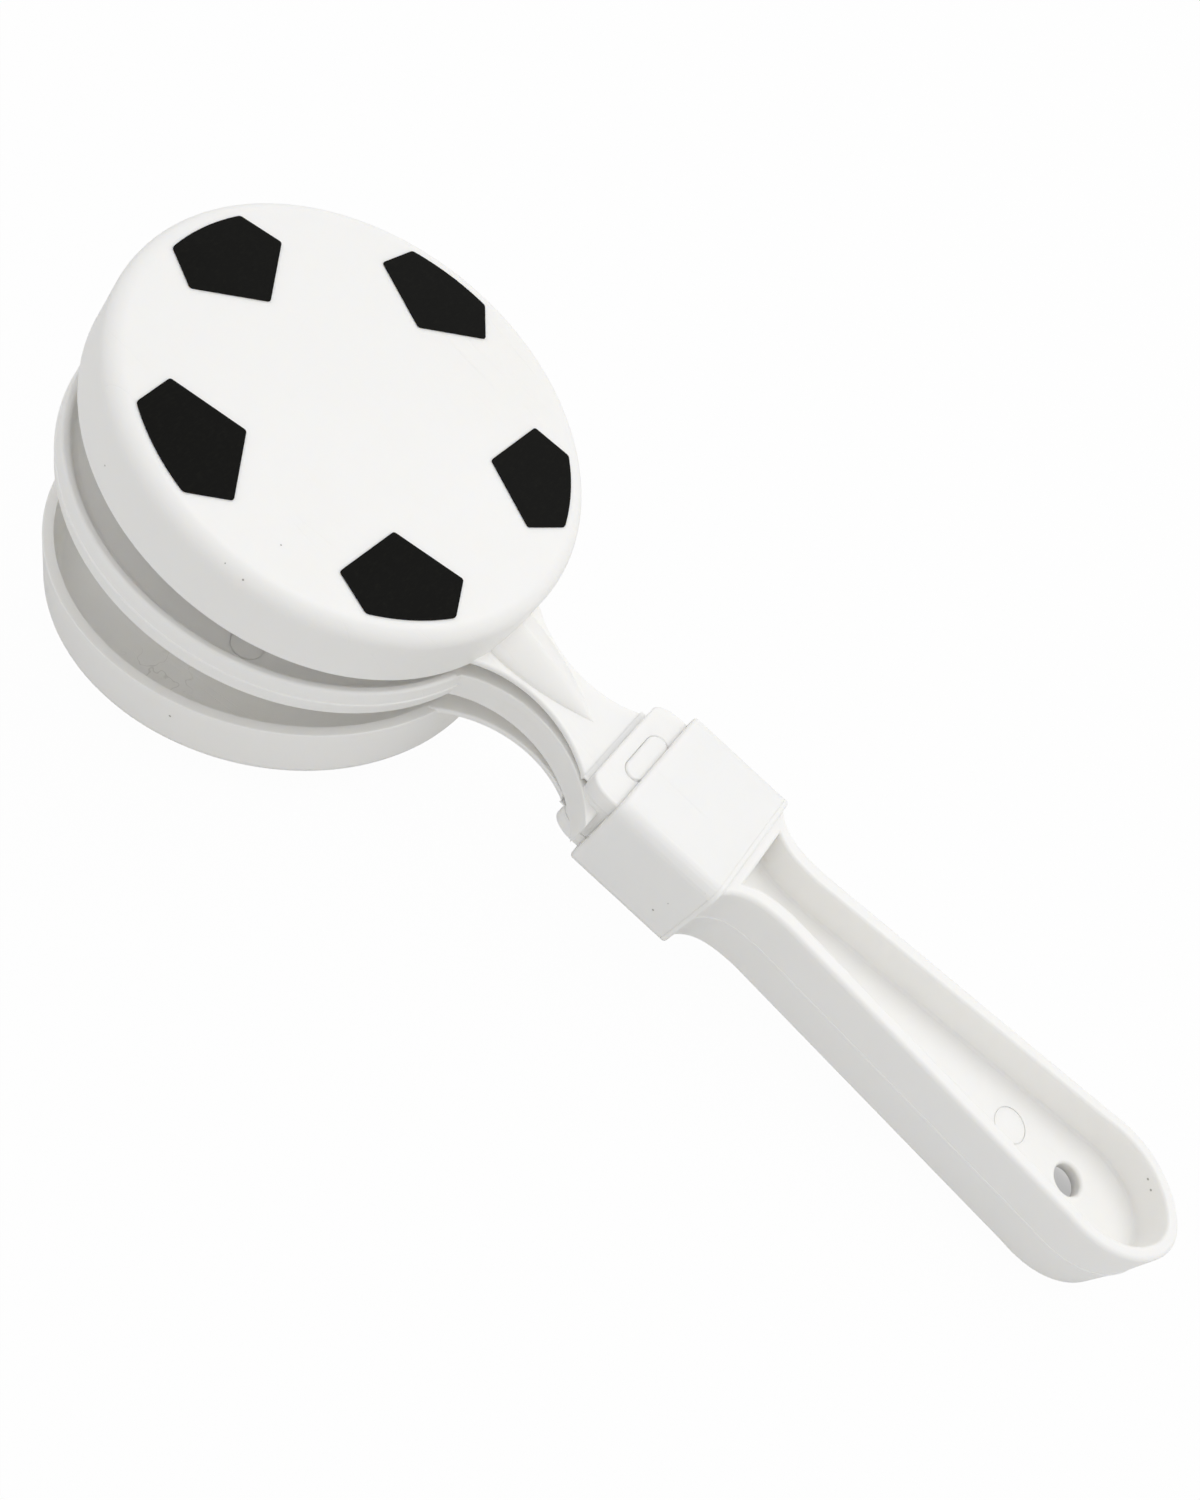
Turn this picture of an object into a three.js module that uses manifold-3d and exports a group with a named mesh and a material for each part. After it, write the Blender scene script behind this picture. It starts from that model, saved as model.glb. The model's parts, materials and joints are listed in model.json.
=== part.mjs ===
// Hand clapper: a paddle on a handle between two hinged clapper shells, held by a slide-on collar.
// Millimetres. Each piece is drawn in the handset's own frame: the middle of the paddle is the
// origin, +X runs down the handle, +Y across it and +Z out of the paddle's upper face. The whole
// clapper is then tilted so that it lies on a table, on the lower shell's edge and the handle's end.
import * as THREE from "three";
import { mergeVertices } from "three/addons/utils/BufferGeometryUtils.js";
import Module from "manifold-3d";

const wasm = await Module();
wasm.setup();

// Clapper shells
const shellRadius = 45;
const shellDepth = 13.6;
const shellDraft = 0.7;
const shellEdgeRound = 3.2;
const shellWall = 2;
const topOpeningDegrees = 6.3;
const bottomOpeningDegrees = 10.5;

// Necks of the shells, with the teardrop rib on each
const neckLength = 27.6;
const neckWaistHalfWidth = 5.7;
const neckWaistFromHinge = 14.4;
const neckSideRadius = 23.4;
const neckThickness = 3.05;
const ribHalfWidth = 6.4;
const ribHeight = 4.1;
const ribTipFromHinge = 6.2;
const ribFullness = 1.75;

// Film hinges
const filmThickness = 0.4;
const filmHalfWidth = 9.4;
const hingeGap = 0.35;
const hingeChamfer = 0.6;

// Middle moulding: ring, web, neck, hinge block
const ringExtraRadius = 0.6;
const ringHalfHeight = 3.6;
const ringBandWidth = 2;
const ringEdgeRound = 0.7;
const ringInnerSlope = 1;
const webHalfThickness = 1;
const middleNeckHalfThickness = 1.6;
const middleNeckExtraWidth = 0.4;
const blockHalfHeight = 4.4;
const blockHalfWidth = 13;
const blockCornerLength = 5.2;
const blockCornerWidth = 4;

// Tabs, and the pegs that hold them
const tabThickness = 3.6;
const tabShows = 6.6;
const pegHalfLength = 6;
const pegHalfWidth = 2.3;
const pegProud = 0.2;
const pegFromCollar = 1.7;

// Collar
const collarLength = 23.6;
const collarWall = 1.1;
const collarEdgeRound = 2;
const collarLip = 1.2;

// Handle
const handleHalfThickness = 9.6;
const handleShoulderHalfWidth = 13.7;
const handleWaistHalfWidth = 8.4;
const handleWaistFromCollar = 13.2;
const handleGripLength = 70.2;
const handleGripHalfWidth = 13.4;
const handleEndLength = 21.5;
const handleEdgeRound = 2.2;
const handleFlareLean = 0.2;
const handleFlareDrop = 0.8;
const handleFlareReach = 0.46;
const handleEndLean = 0.6;
const handleEndFullness = 1.16;
const handleEndBlunt = 0.5;
const handleShoulder = 3.4;
const rimThickness = 2.4;
const channelFromCollar = 2.1;
const channelStartHalfWidth = 7.4;
const channelWaistRim = 3.2;
const channelDraft = 0.4;
const hangHoleRadius = 3;
const hangHoleFromEnd = 20;
const ejectorMarkRadius = 3.5;
const ejectorMarkDepth = 0.2;
const ejectorMarkFromHole = 14.8;
const webMarkRadius = 3;
const webMarkX = 15;
const webMarkY = -35.6;

// Pentagons
const pentagonCount = 5;
const pentagonTurnDegrees = 1.4;
const pentagonInnerRadius = 24.1;
const pentagonSideRadius = 34.3;
const pentagonSideHalfAngle = 0.339;
const pentagonOuterRadius = 40.6;
const pentagonOuterHalfAngle = 0.204;
const pentagonThickness = 0.25;
const pentagonSeat = 0.05;

// Clearances
const closedGap = 0.3;
const seatGap = 0.25;
const slotClearance = 0.3;
const slideClearance = 0.25;

// Fineness of the curved surfaces
const discSegments = 80;
const roundSegments = 6;
const edgeSegments = 3;
const curveSegments = 10;
const sideSegments = 16;
const holeSegments = 24;
const weldDistance = 1e-4;

// Places that follow from the sizes
const ringRadius = shellRadius + ringExtraRadius;
const rimHeight = ringHalfHeight + closedGap;
const faceHeight = rimHeight + shellDepth;
const faceSideRadius = shellRadius - shellDraft;
const hingeX = shellRadius + neckLength;
const neckBottom = middleNeckHalfThickness + closedGap;
const neckTop = neckBottom + neckThickness;
const neckWaistX = hingeX - neckWaistFromHinge;
const webEdgeRadius = ringRadius - ringBandWidth - ringInnerSlope;
const neckRootHalfWidth = neckHalf(webEdgeRadius, hingeX, 0)[0].y;
const tabBottom = blockHalfHeight + seatGap;
const tabTop = tabBottom + tabThickness;
const hingeHeight = tabBottom + filmThickness / 2;
const tabFrontX = hingeX + 2 * hingeGap;
const blockFrontX = tabFrontX + seatGap;
const collarFrontX = tabFrontX + tabShows;
const collarRearX = collarFrontX + collarLength;
const handleStartX = collarRearX - handleShoulder;
const tabEndX = handleStartX - seatGap;
const tabHalfWidth = blockHalfWidth;
const pegX = collarFrontX - pegFromCollar;
const handleWaistX = collarRearX + handleWaistFromCollar;
const handleGripX = handleWaistX + handleGripLength;
const handleEndX = handleGripX + handleEndLength;
const collarInnerHalfHeight = Math.max(handleHalfThickness, tabTop) + slideClearance;
const collarInnerHalfWidth = Math.max(...handleHalf().map((corner) => corner.y)) + slideClearance;

const white = 0xf2f2f0;
const black = 0x1e1e1c;

// Merges shared vertices, drops the flat triangles at a lathe's poles and turns the faces outward.
function weld(geometry) {
  const bare = geometry.clone();
  bare.deleteAttribute("normal");
  bare.deleteAttribute("uv");
  const merged = mergeVertices(bare, weldDistance);
  const index = merged.index.array;
  const corners = [0, 1, 2].map(() => new THREE.Vector3());
  const kept = [];
  let volume = 0;
  for (let i = 0; i < index.length; i += 3) {
    const [a, b, c] = [index[i], index[i + 1], index[i + 2]];
    if (a === b || b === c || c === a) continue;
    [a, b, c].forEach((vertex, corner) => {
      corners[corner].fromBufferAttribute(merged.attributes.position, vertex);
    });
    volume += corners[0].dot(corners[1].clone().cross(corners[2]));
    kept.push(a, b, c);
  }
  if (volume < 0) kept.reverse();
  merged.setIndex(kept);
  return merged;
}

function toSolid(geometry) {
  const welded = weld(geometry);
  return new wasm.Manifold(new wasm.Mesh({
    numProp: 3,
    vertProperties: Float32Array.from(welded.attributes.position.array),
    triVerts: Uint32Array.from(welded.index.array),
  }));
}

function toGeometry(solid) {
  const mesh = solid.getMesh();
  const geometry = new THREE.BufferGeometry();
  geometry.setAttribute("position", new THREE.BufferAttribute(mesh.vertProperties.slice(), mesh.numProp));
  geometry.setIndex(new THREE.BufferAttribute(mesh.triVerts.slice(), 1));
  geometry.computeVertexNormals();
  return geometry;
}

function point(x, y) {
  return new THREE.Vector2(x, y);
}

// A quarter round as points, from one angle to another about a centre.
function arcPoints(centreX, centreY, radius, fromAngle, toAngle, segments) {
  const points = [];
  for (let step = 0; step <= segments; step += 1) {
    const angle = fromAngle + (toAngle - fromAngle) * step / segments;
    points.push(point(centreX + radius * Math.cos(angle), centreY + radius * Math.sin(angle)));
  }
  return points;
}

// Turns a profile of (radius, height) points about the Z axis.
function turned(profile, segments = discSegments) {
  return toSolid(new THREE.LatheGeometry(profile, segments).rotateX(Math.PI / 2));
}

// Raises an outline drawn in X and Y from one height to another, with its edges rounded or left sharp.
function raised(outline, bottom, top, round = 0) {
  const geometry = new THREE.ExtrudeGeometry(new THREE.Shape(outline), {
    depth: top - bottom - 2 * round,
    bevelEnabled: round > 0,
    bevelThickness: round,
    bevelSize: round,
    bevelOffset: -round,
    bevelSegments: edgeSegments,
  });
  return toSolid(geometry.translate(0, 0, bottom + round));
}

function block(fromX, toX, halfWidth, bottom, top) {
  const geometry = new THREE.BoxGeometry(toX - fromX, 2 * halfWidth, top - bottom);
  return toSolid(geometry.translate((fromX + toX) / 2, 0, (bottom + top) / 2));
}

function upright(x, y, radius, bottom, top, segments = holeSegments) {
  const geometry = new THREE.CylinderGeometry(radius, radius, top - bottom, segments).rotateX(Math.PI / 2);
  return toSolid(geometry.translate(x, y, (bottom + top) / 2));
}

// Closes an outline from its upper half, which runs with rising X.
function mirrored(upperHalf) {
  const lowerHalf = upperHalf.map((corner) => point(corner.x, -corner.y)).reverse();
  return [...upperHalf, ...lowerHalf.filter((corner) => corner.y !== 0)];
}

// Half the outline of a neck: an arc that is narrowest at the waist.
function neckHalf(fromX, toX, extraWidth) {
  const points = [];
  for (let step = 0; step <= sideSegments; step += 1) {
    const x = fromX + (toX - fromX) * step / sideSegments;
    const rise = neckSideRadius - Math.sqrt(Math.max(0, neckSideRadius ** 2 - (x - neckWaistX) ** 2));
    points.push(point(x, neckWaistHalfWidth + extraWidth + rise));
  }
  return points;
}

// Half the outline of the hinge block or a tab, its front corners rounded.
function tabHalf(frontX, endX, halfWidth) {
  const centreX = frontX + blockCornerLength;
  const centreY = halfWidth - blockCornerWidth;
  const corner = arcPoints(0, 0, 1, Math.PI, Math.PI / 2, roundSegments);
  return [
    ...corner.map(({ x, y }) => point(centreX + x * blockCornerLength, centreY + y * blockCornerWidth)),
    point(endX, halfWidth),
  ];
}

// Outline of an oblong whose long side runs across the handle.
function oblong(centreX, halfLength, halfWidth) {
  const reach = halfLength - halfWidth;
  return [
    ...arcPoints(centreX, reach, halfWidth, 0, Math.PI, roundSegments),
    ...arcPoints(centreX, -reach, halfWidth, Math.PI, 2 * Math.PI, roundSegments),
  ];
}

// Half the outline of the handle: a shoulder in the collar, a flare, the grip and the rounded end.
function handleHalf() {
  const leanX = collarRearX + handleFlareLean * handleWaistFromCollar;
  const leanY = handleShoulderHalfWidth - handleFlareDrop * (handleShoulderHalfWidth - handleWaistHalfWidth);
  const flare = new THREE.CubicBezierCurve(
    point(collarRearX, handleShoulderHalfWidth),
    point(leanX, leanY),
    point(collarRearX + handleFlareReach * handleWaistFromCollar, handleWaistHalfWidth),
    point(handleWaistX, handleWaistHalfWidth),
  );
  return [point(handleStartX, handleShoulderHalfWidth), ...flare.getPoints(curveSegments), ...handleEndHalf()];
}

function handleEndHalf() {
  const end = new THREE.CubicBezierCurve(
    point(handleGripX, handleGripHalfWidth),
    point(handleGripX + handleEndLean * handleEndLength, handleEndFullness * handleGripHalfWidth),
    point(handleEndX, handleEndBlunt * handleGripHalfWidth),
    point(handleEndX, 0),
  );
  return end.getPoints(curveSegments);
}

// Half the outline of the channels in the handle's faces, which keep a rim of even thickness.
function channelHalf() {
  const startX = collarRearX + channelFromCollar;
  const flare = new THREE.QuadraticBezierCurve(
    point(startX, channelStartHalfWidth),
    point(startX + handleFlareLean * handleWaistFromCollar, handleWaistHalfWidth - channelWaistRim),
    point(handleWaistX, handleWaistHalfWidth - channelWaistRim),
  );
  return [...flare.getPoints(roundSegments), ...inset(handleEndHalf(), rimThickness)];
}

// Moves each point of a half outline inward by a distance, square to the outline there.
function inset(half, distance) {
  return half.map((corner, i) => {
    const before = half[Math.max(0, i - 1)];
    const after = i === half.length - 1 ? point(corner.x, -before.y) : half[i + 1];
    const along = after.clone().sub(before).normalize();
    return i === half.length - 1
      ? point(corner.x - distance, 0)
      : point(corner.x + along.y * distance, corner.y - along.x * distance);
  });
}

// Outer surface of a shell from the middle of its face to its rim, moved outward by an offset.
function shellSkin(offset) {
  const roundX = faceSideRadius - shellEdgeRound;
  const roundZ = faceHeight - shellEdgeRound;
  return [
    point(0, faceHeight + offset),
    ...arcPoints(roundX, roundZ, shellEdgeRound + offset, Math.PI / 2, 0, roundSegments),
    point(shellRadius + offset, rimHeight),
  ];
}

function ringAndWeb() {
  const roundX = ringRadius - ringEdgeRound;
  const roundZ = ringHalfHeight - ringEdgeRound;
  const upper = [
    point(0, webHalfThickness),
    point(webEdgeRadius, webHalfThickness),
    point(ringRadius - ringBandWidth, ringHalfHeight),
    ...arcPoints(roundX, roundZ, ringEdgeRound, Math.PI / 2, 0, edgeSegments),
  ];
  const lower = upper.map((corner) => point(corner.x, -corner.y)).reverse();
  return turned([...upper, ...lower]);
}

// Clears the ring above or below the middle neck, where a shell's neck lies when it is closed.
function neckRecess(side) {
  const [bottom, top] = side > 0
    ? [middleNeckHalfThickness, 2 * ringHalfHeight]
    : [-2 * ringHalfHeight, -middleNeckHalfThickness];
  return block(shellRadius / 2, hingeX, neckRootHalfWidth + closedGap, bottom, top);
}

// The cut for a channel, its walls leaning in towards the floor.
function handleChannel(turn) {
  const cutter = new THREE.ExtrudeGeometry(new THREE.Shape(mirrored(channelHalf())), {
    depth: handleHalfThickness,
    bevelThickness: handleHalfThickness - webHalfThickness,
    bevelSize: channelDraft,
    bevelOffset: -channelDraft,
    bevelSegments: 1,
  });
  return toSolid(cutter.translate(0, 0, handleHalfThickness).rotateX(turn));
}

function paddleHandle() {
  const neckOutline = mirrored(neckHalf(webEdgeRadius - closedGap, hingeX + hingeGap, middleNeckExtraWidth));
  const neck = raised(neckOutline, -middleNeckHalfThickness, middleNeckHalfThickness);
  const footEndX = blockFrontX + blockCornerLength;
  const neckFoot = block(hingeX, footEndX, filmHalfWidth, -middleNeckHalfThickness, middleNeckHalfThickness);
  const blockOutline = mirrored(tabHalf(blockFrontX, collarRearX, blockHalfWidth));
  const hingeBlock = raised(blockOutline, -blockHalfHeight, blockHalfHeight);
  const handle = raised(mirrored(handleHalf()), -handleHalfThickness, handleHalfThickness, handleEdgeRound);
  const peg = raised(oblong(pegX, pegHalfLength, pegHalfWidth), -tabTop - pegProud, tabTop + pegProud);
  const holeX = handleEndX - hangHoleFromEnd;
  const markBottom = webHalfThickness - ejectorMarkDepth;
  return ringAndWeb()
    .subtract(neckRecess(1))
    .subtract(neckRecess(-1))
    .add(neck)
    .add(neckFoot)
    .add(hingeBlock)
    .add(handle)
    .add(peg)
    .subtract(handleChannel(0))
    .subtract(handleChannel(Math.PI))
    .subtract(upright(holeX, 0, hangHoleRadius, -ringHalfHeight, ringHalfHeight))
    .subtract(upright(holeX - ejectorMarkFromHole, 0, ejectorMarkRadius, markBottom, ringHalfHeight))
    .subtract(upright(webMarkX, webMarkY, webMarkRadius, markBottom, ringHalfHeight));
}

// The tube is drawn upright, its width along X and its height along Y, and then laid along the handle.
function collar() {
  const outerHalfWidth = collarInnerHalfWidth + collarWall;
  const outerHalfHeight = collarInnerHalfHeight + collarWall;
  const outer = roundedRectangle(outerHalfWidth, outerHalfHeight, collarEdgeRound);
  const inner = roundedRectangle(collarInnerHalfWidth, collarInnerHalfHeight, collarEdgeRound - collarWall);
  const body = raised(outer, 0, collarLength - collarLip);
  const lip = new THREE.ExtrudeGeometry(new THREE.Shape(outer), {
    depth: collarLength - 2 * collarLip,
    bevelThickness: collarLip,
    bevelSize: collarLip,
    bevelOffset: -collarLip,
    bevelSegments: 1,
  });
  return body
    .add(toSolid(lip.translate(0, 0, collarLip)))
    .subtract(raised(inner, -collarLip, collarLength + collarLip));
}

function roundedRectangle(halfWidth, halfHeight, radius) {
  const centreX = halfWidth - radius;
  const centreY = halfHeight - radius;
  const corners = [[1, 1, 0], [-1, 1, 1], [-1, -1, 2], [1, -1, 3]];
  return corners.flatMap(([sideX, sideY, quarter]) => {
    const from = quarter * Math.PI / 2;
    return arcPoints(sideX * centreX, sideY * centreY, radius, from, from + Math.PI / 2, edgeSegments);
  });
}

// The clamped half of a film hinge: a tab under the collar, slotted for the peg, with the film's lip.
function hingeTab() {
  const plate = raised(mirrored(tabHalf(tabFrontX, tabEndX, tabHalfWidth)), tabBottom, tabTop);
  const slotOutline = oblong(pegX, pegHalfLength + slotClearance, pegHalfWidth + slotClearance);
  const slot = raised(slotOutline, tabBottom - tabThickness, tabTop + tabThickness);
  const filmEndX = tabFrontX + blockCornerLength / 2;
  const film = block(hingeX + hingeGap / 2, filmEndX, filmHalfWidth, tabBottom, tabBottom + filmThickness);
  return plate.add(film).subtract(slot);
}

function cup() {
  const inside = shellSkin(-shellWall).reverse();
  return turned([...shellSkin(0), ...inside]);
}

// The teardrop rib that stiffens a neck: a turned bullet shape, flattened, lying on the neck.
function rib() {
  const rootX = shellRadius - shellWall / 2;
  const length = hingeX - ribTipFromHinge - rootX;
  const profile = [point(0, 0)];
  for (let step = 0; step <= sideSegments; step += 1) {
    const share = step / sideSegments;
    profile.push(point(ribHalfWidth * (1 - share ** ribFullness), length * share));
  }
  const bullet = new THREE.LatheGeometry(profile, holeSegments)
    .rotateZ(-Math.PI / 2)
    .scale(1, 1, ribHeight / ribHalfWidth)
    .translate(rootX, 0, neckTop);
  return toSolid(bullet).intersect(block(rootX, hingeX, 2 * ribHalfWidth, neckBottom, faceHeight));
}

function shell() {
  const insideRadius = shellRadius - shellWall;
  const endX = hingeX - hingeGap / 2;
  const rootX = insideRadius - shellWall - neckThickness;
  const plate = raised(mirrored(neckHalf(rootX, endX, 0)), neckBottom, neckTop)
    .intersect(block(0, hingeX, neckRootHalfWidth, neckBottom, neckTop));
  const hollow = turned([
    point(0, 0), point(insideRadius, 0), point(insideRadius, faceHeight), point(0, faceHeight),
  ]);
  const chamfer = new THREE.ExtrudeGeometry(
    new THREE.Shape([point(0, 0), point(-hingeChamfer, -neckThickness), point(hingeChamfer, -neckThickness)]),
    { depth: 2 * shellRadius, bevelEnabled: false },
  ).rotateX(Math.PI / 2).translate(endX, shellRadius, neckTop - filmThickness);
  return plate.add(rib()).subtract(hollow).subtract(toSolid(chamfer)).add(cup());
}

// A black pentagon that lies on the skin of the shell, just above its face.
function pentagon(number) {
  const turn = THREE.MathUtils.degToRad(pentagonTurnDegrees) + number * 2 * Math.PI / pentagonCount;
  const middle = Math.PI - turn;
  const outerAngle = pentagonOuterHalfAngle;
  const at = (radius, aside) => point(radius * Math.cos(middle + aside), radius * Math.sin(middle + aside));
  const outline = [
    at(pentagonInnerRadius, 0),
    at(pentagonSideRadius, -pentagonSideHalfAngle),
    ...arcPoints(0, 0, pentagonOuterRadius, middle - outerAngle, middle + outerAngle, roundSegments),
    at(pentagonSideRadius, pentagonSideHalfAngle),
  ];
  const skin = turned([...shellSkin(pentagonSeat + pentagonThickness), ...shellSkin(pentagonSeat).reverse()]);
  return skin.intersect(raised(outline, rimHeight, 2 * faceHeight));
}

function piece(name, solid, colour, roughness) {
  const material = new THREE.MeshStandardMaterial({ color: colour, roughness, metalness: 0 });
  const mesh = new THREE.Mesh(toGeometry(solid), material);
  mesh.name = name;
  return mesh;
}

// One clapper: its clamped tab, and its shell and pentagons swung open about the film hinge.
function clapper(side, openingDegrees) {
  const whole = new THREE.Group();
  whole.add(piece(`${side}_hinge_tab`, hingeTab(), white, 0.4));
  const swinging = new THREE.Group();
  swinging.position.set(hingeX, 0, hingeHeight);
  swinging.rotation.y = THREE.MathUtils.degToRad(openingDegrees);
  const drawn = new THREE.Group();
  drawn.position.set(-hingeX, 0, -hingeHeight);
  drawn.add(piece(`${side}_shell`, shell(), white, 0.35));
  for (let number = 0; number < pentagonCount; number += 1) {
    drawn.add(piece(`${side}_pentagon_${number + 1}`, pentagon(number), black, 0.6));
  }
  swinging.add(drawn);
  whole.add(swinging);
  return whole;
}

// The lowest round of the open lower shell, seen from the side: its centre and radius.
function lowerShellFoot() {
  const opening = THREE.MathUtils.degToRad(bottomOpeningDegrees);
  const alongX = shellEdgeRound - faceSideRadius - hingeX;
  const alongZ = hingeHeight - (faceHeight - shellEdgeRound);
  return {
    x: hingeX + alongX * Math.cos(opening) - alongZ * Math.sin(opening),
    z: -hingeHeight + alongX * Math.sin(opening) + alongZ * Math.cos(opening),
    radius: shellEdgeRound + pentagonSeat + pentagonThickness,
  };
}

// The lower round of the handle's end, seen from the side.
function handleFoot() {
  return {
    x: handleEndX - handleEdgeRound,
    z: handleEdgeRound - handleHalfThickness,
    radius: handleEdgeRound,
  };
}

// Tilt at which the clapper rests on both feet: that of the line that touches both rounds from below.
function restingTilt() {
  const front = lowerShellFoot();
  const back = handleFoot();
  const spanX = back.x - front.x;
  const spanZ = back.z - front.z;
  return Math.atan2(spanZ, spanX) + Math.asin((front.radius - back.radius) / Math.hypot(spanX, spanZ));
}

function handClapper() {
  const whole = new THREE.Group();
  whole.rotation.y = restingTilt();
  whole.add(piece("paddle_handle", paddleHandle(), white, 0.4));
  const sleeve = new THREE.Group();
  sleeve.rotation.set(Math.PI / 2, Math.PI / 2, 0);
  sleeve.position.x = collarFrontX;
  sleeve.add(piece("collar", collar(), white, 0.35));
  whole.add(sleeve);
  whole.add(clapper("top", topOpeningDegrees));
  const underside = clapper("bottom", bottomOpeningDegrees);
  underside.rotation.x = Math.PI;
  whole.add(underside);
  const bounds = new THREE.Box3().setFromObject(whole, true);
  whole.position.set(-(bounds.min.x + bounds.max.x) / 2, 0, -bounds.min.z);
  return whole;
}

export default handClapper();
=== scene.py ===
"""Dresses the hand clapper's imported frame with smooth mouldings, stickers, materials and a studio.

Sizes are in millimetres, in the clapper's own frame as it is drawn before it is laid down: the middle of
the paddle is the origin, +X runs down the handle, +Y across it and +Z out of the upper face.
"""
import json
import logging
import math
from collections.abc import Callable, Iterator, Sequence
from contextlib import contextmanager
from dataclasses import dataclass, field
from enum import Enum

import bmesh
import bpy
from mathutils import Euler, Matrix, Vector


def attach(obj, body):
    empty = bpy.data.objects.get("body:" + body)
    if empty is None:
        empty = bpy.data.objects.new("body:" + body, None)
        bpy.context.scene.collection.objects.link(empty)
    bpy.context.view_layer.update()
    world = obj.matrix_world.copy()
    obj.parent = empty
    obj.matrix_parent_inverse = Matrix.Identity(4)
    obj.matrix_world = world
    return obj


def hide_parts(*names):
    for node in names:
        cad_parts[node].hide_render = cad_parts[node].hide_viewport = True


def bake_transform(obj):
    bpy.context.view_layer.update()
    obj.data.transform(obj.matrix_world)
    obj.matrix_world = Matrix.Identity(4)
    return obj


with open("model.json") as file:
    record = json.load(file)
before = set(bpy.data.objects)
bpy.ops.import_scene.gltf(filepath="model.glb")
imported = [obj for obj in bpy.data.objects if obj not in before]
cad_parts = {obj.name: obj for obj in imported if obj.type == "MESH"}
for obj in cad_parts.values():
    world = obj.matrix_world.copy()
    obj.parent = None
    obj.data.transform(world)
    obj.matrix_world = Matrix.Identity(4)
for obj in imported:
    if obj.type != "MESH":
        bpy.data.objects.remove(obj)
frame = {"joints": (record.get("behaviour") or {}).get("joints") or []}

log = logging.getLogger("hand_clapper")

MM = 0.001
# Places closer than NEAR are the same, and a cutter or an inlaid piece passes a face by HAIR.
NEAR = 0.001
HAIR = 0.02
# In a finished piece, shorter edges are dissolved and edges that bend more stay sharp.
SLIVER = 0.0002
SHARP_ANGLE = math.radians(32)
# Where an offset outline turns sharply, a corner moves no further than the distance over this.
MITRE = 0.35

Point = tuple[float, float]
Place = tuple[float, float, float]
# A place and the radius round it.
Spot = tuple[float, float, float, float]
Outline = list[Point]
PairTest = Callable[[Vector, Vector], bool]


class Side(Enum):
    """The two faces of the paddle, each with its clapper."""

    TOP = "top"
    BOTTOM = "bottom"


class Slot(Enum):
    """Material slots of the record."""

    PLASTIC = "white_plastic"
    STICKER = "black_sticker"


class Body(Enum):
    """Rigid bodies of the record."""

    HANDLE = "handle"
    TOP = "top_clapper"
    BOTTOM = "bottom_clapper"


class Element(Enum):
    """What is picked in a mesh."""

    FACES = "FACE"
    EDGES = "EDGE"


class Cell(Enum):
    """What is measured in scattered cells."""

    MIDDLE = "F1"
    EDGE = "DISTANCE_TO_EDGE"


class Merge(Enum):
    """What becomes of a solid where another meets it."""

    JOIN = "UNION"
    CUT = "DIFFERENCE"
    CROSS = "INTERSECT"


# Outlines


def arc(centre: Point, radius: float, start: float, end: float, steps: int) -> Outline:
    """Points on a circle.

    Args:
        centre: the circle's centre.
        radius: its radius.
        start: the first angle, in radians.
        end: the last angle, in radians.
        steps: how many equal steps lie between them.

    Returns:
        One more point than there are steps.
    """
    angles = [start + (end - start) * step / steps for step in range(steps + 1)]
    return [(centre[0] + radius * math.cos(a), centre[1] + radius * math.sin(a)) for a in angles]


def bezier(corners: Outline, steps: int) -> Outline:
    """Points on a Bezier curve.

    Args:
        corners: the curve's control points, three or four of them.
        steps: how many equal steps of the parameter are taken.

    Returns:
        One more point than there are steps.
    """
    degree = len(corners) - 1
    points = []
    for step in range(steps + 1):
        t = step / steps
        weights = [math.comb(degree, k) * t**k * (1 - t) ** (degree - k) for k in range(degree + 1)]
        points.append(tuple(sum(w * c[axis] for w, c in zip(weights, corners)) for axis in (0, 1)))
    return points


def mirrored(upper: Outline) -> Outline:
    """Closes an outline from its upper half, with no point twice."""
    return upper + [(x, -y) for x, y in reversed(upper) if abs(y) > NEAR]


def offset(outline: Outline, distance: float) -> Outline:
    """Moves a closed outline out or in, square to itself.

    Args:
        outline: the points, in either sense of rotation.
        distance: how far out, or in if it is negative.

    Returns:
        The moved points, one for each given.
    """
    following = outline[1:] + outline[:1]
    area = sum(x * after[1] - after[0] * y for (x, y), after in zip(outline, following))
    sense = math.copysign(distance, area * distance)
    moved = []
    for before, (x, y), after in zip(outline[-1:] + outline[:-1], outline, following):
        into = Vector((x - before[0], y - before[1])).normalized()
        out = Vector((after[0] - x, after[1] - y)).normalized()
        along = (into + out).normalized()
        reach = sense / max(along.dot(out), MITRE)
        moved.append((x + along.y * reach, y - along.x * reach))
    return moved


def oblong(centre_x: float, half_length: float, half_width: float) -> Outline:
    """Outline of a round-ended hole or peg that lies across the handle.

    Args:
        centre_x: where its middle is along the handle.
        half_length: half its length, across the handle.
        half_width: half its width, along the handle.

    Returns:
        The outline's points.
    """
    reach = half_length - half_width
    far_end = arc((centre_x, reach), half_width, 0, math.pi, 12)
    return far_end + arc((centre_x, -reach), half_width, math.pi, 2 * math.pi, 12)


def rectangle(start: float, end: float, half_width: float) -> Outline:
    """Outline of a rectangle along the handle."""
    return [(start, -half_width), (end, -half_width), (end, half_width), (start, half_width)]


def quarter_in(radius: float, steps: int) -> list[Point]:
    """Insets that round a cap's edge over, from the wall to the flat.

    Args:
        radius: how far the rounding reaches.
        steps: how many facets it has.

    Returns:
        How far each inset goes in, and how far out of the solid.
    """
    angles = [math.pi / 2 * step / steps for step in range(steps + 1)]
    turns = [(math.cos(a) - math.cos(b), math.sin(b) - math.sin(a)) for a, b in zip(angles, angles[1:])]
    return [(radius * inward, radius * outward) for inward, outward in turns]


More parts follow.
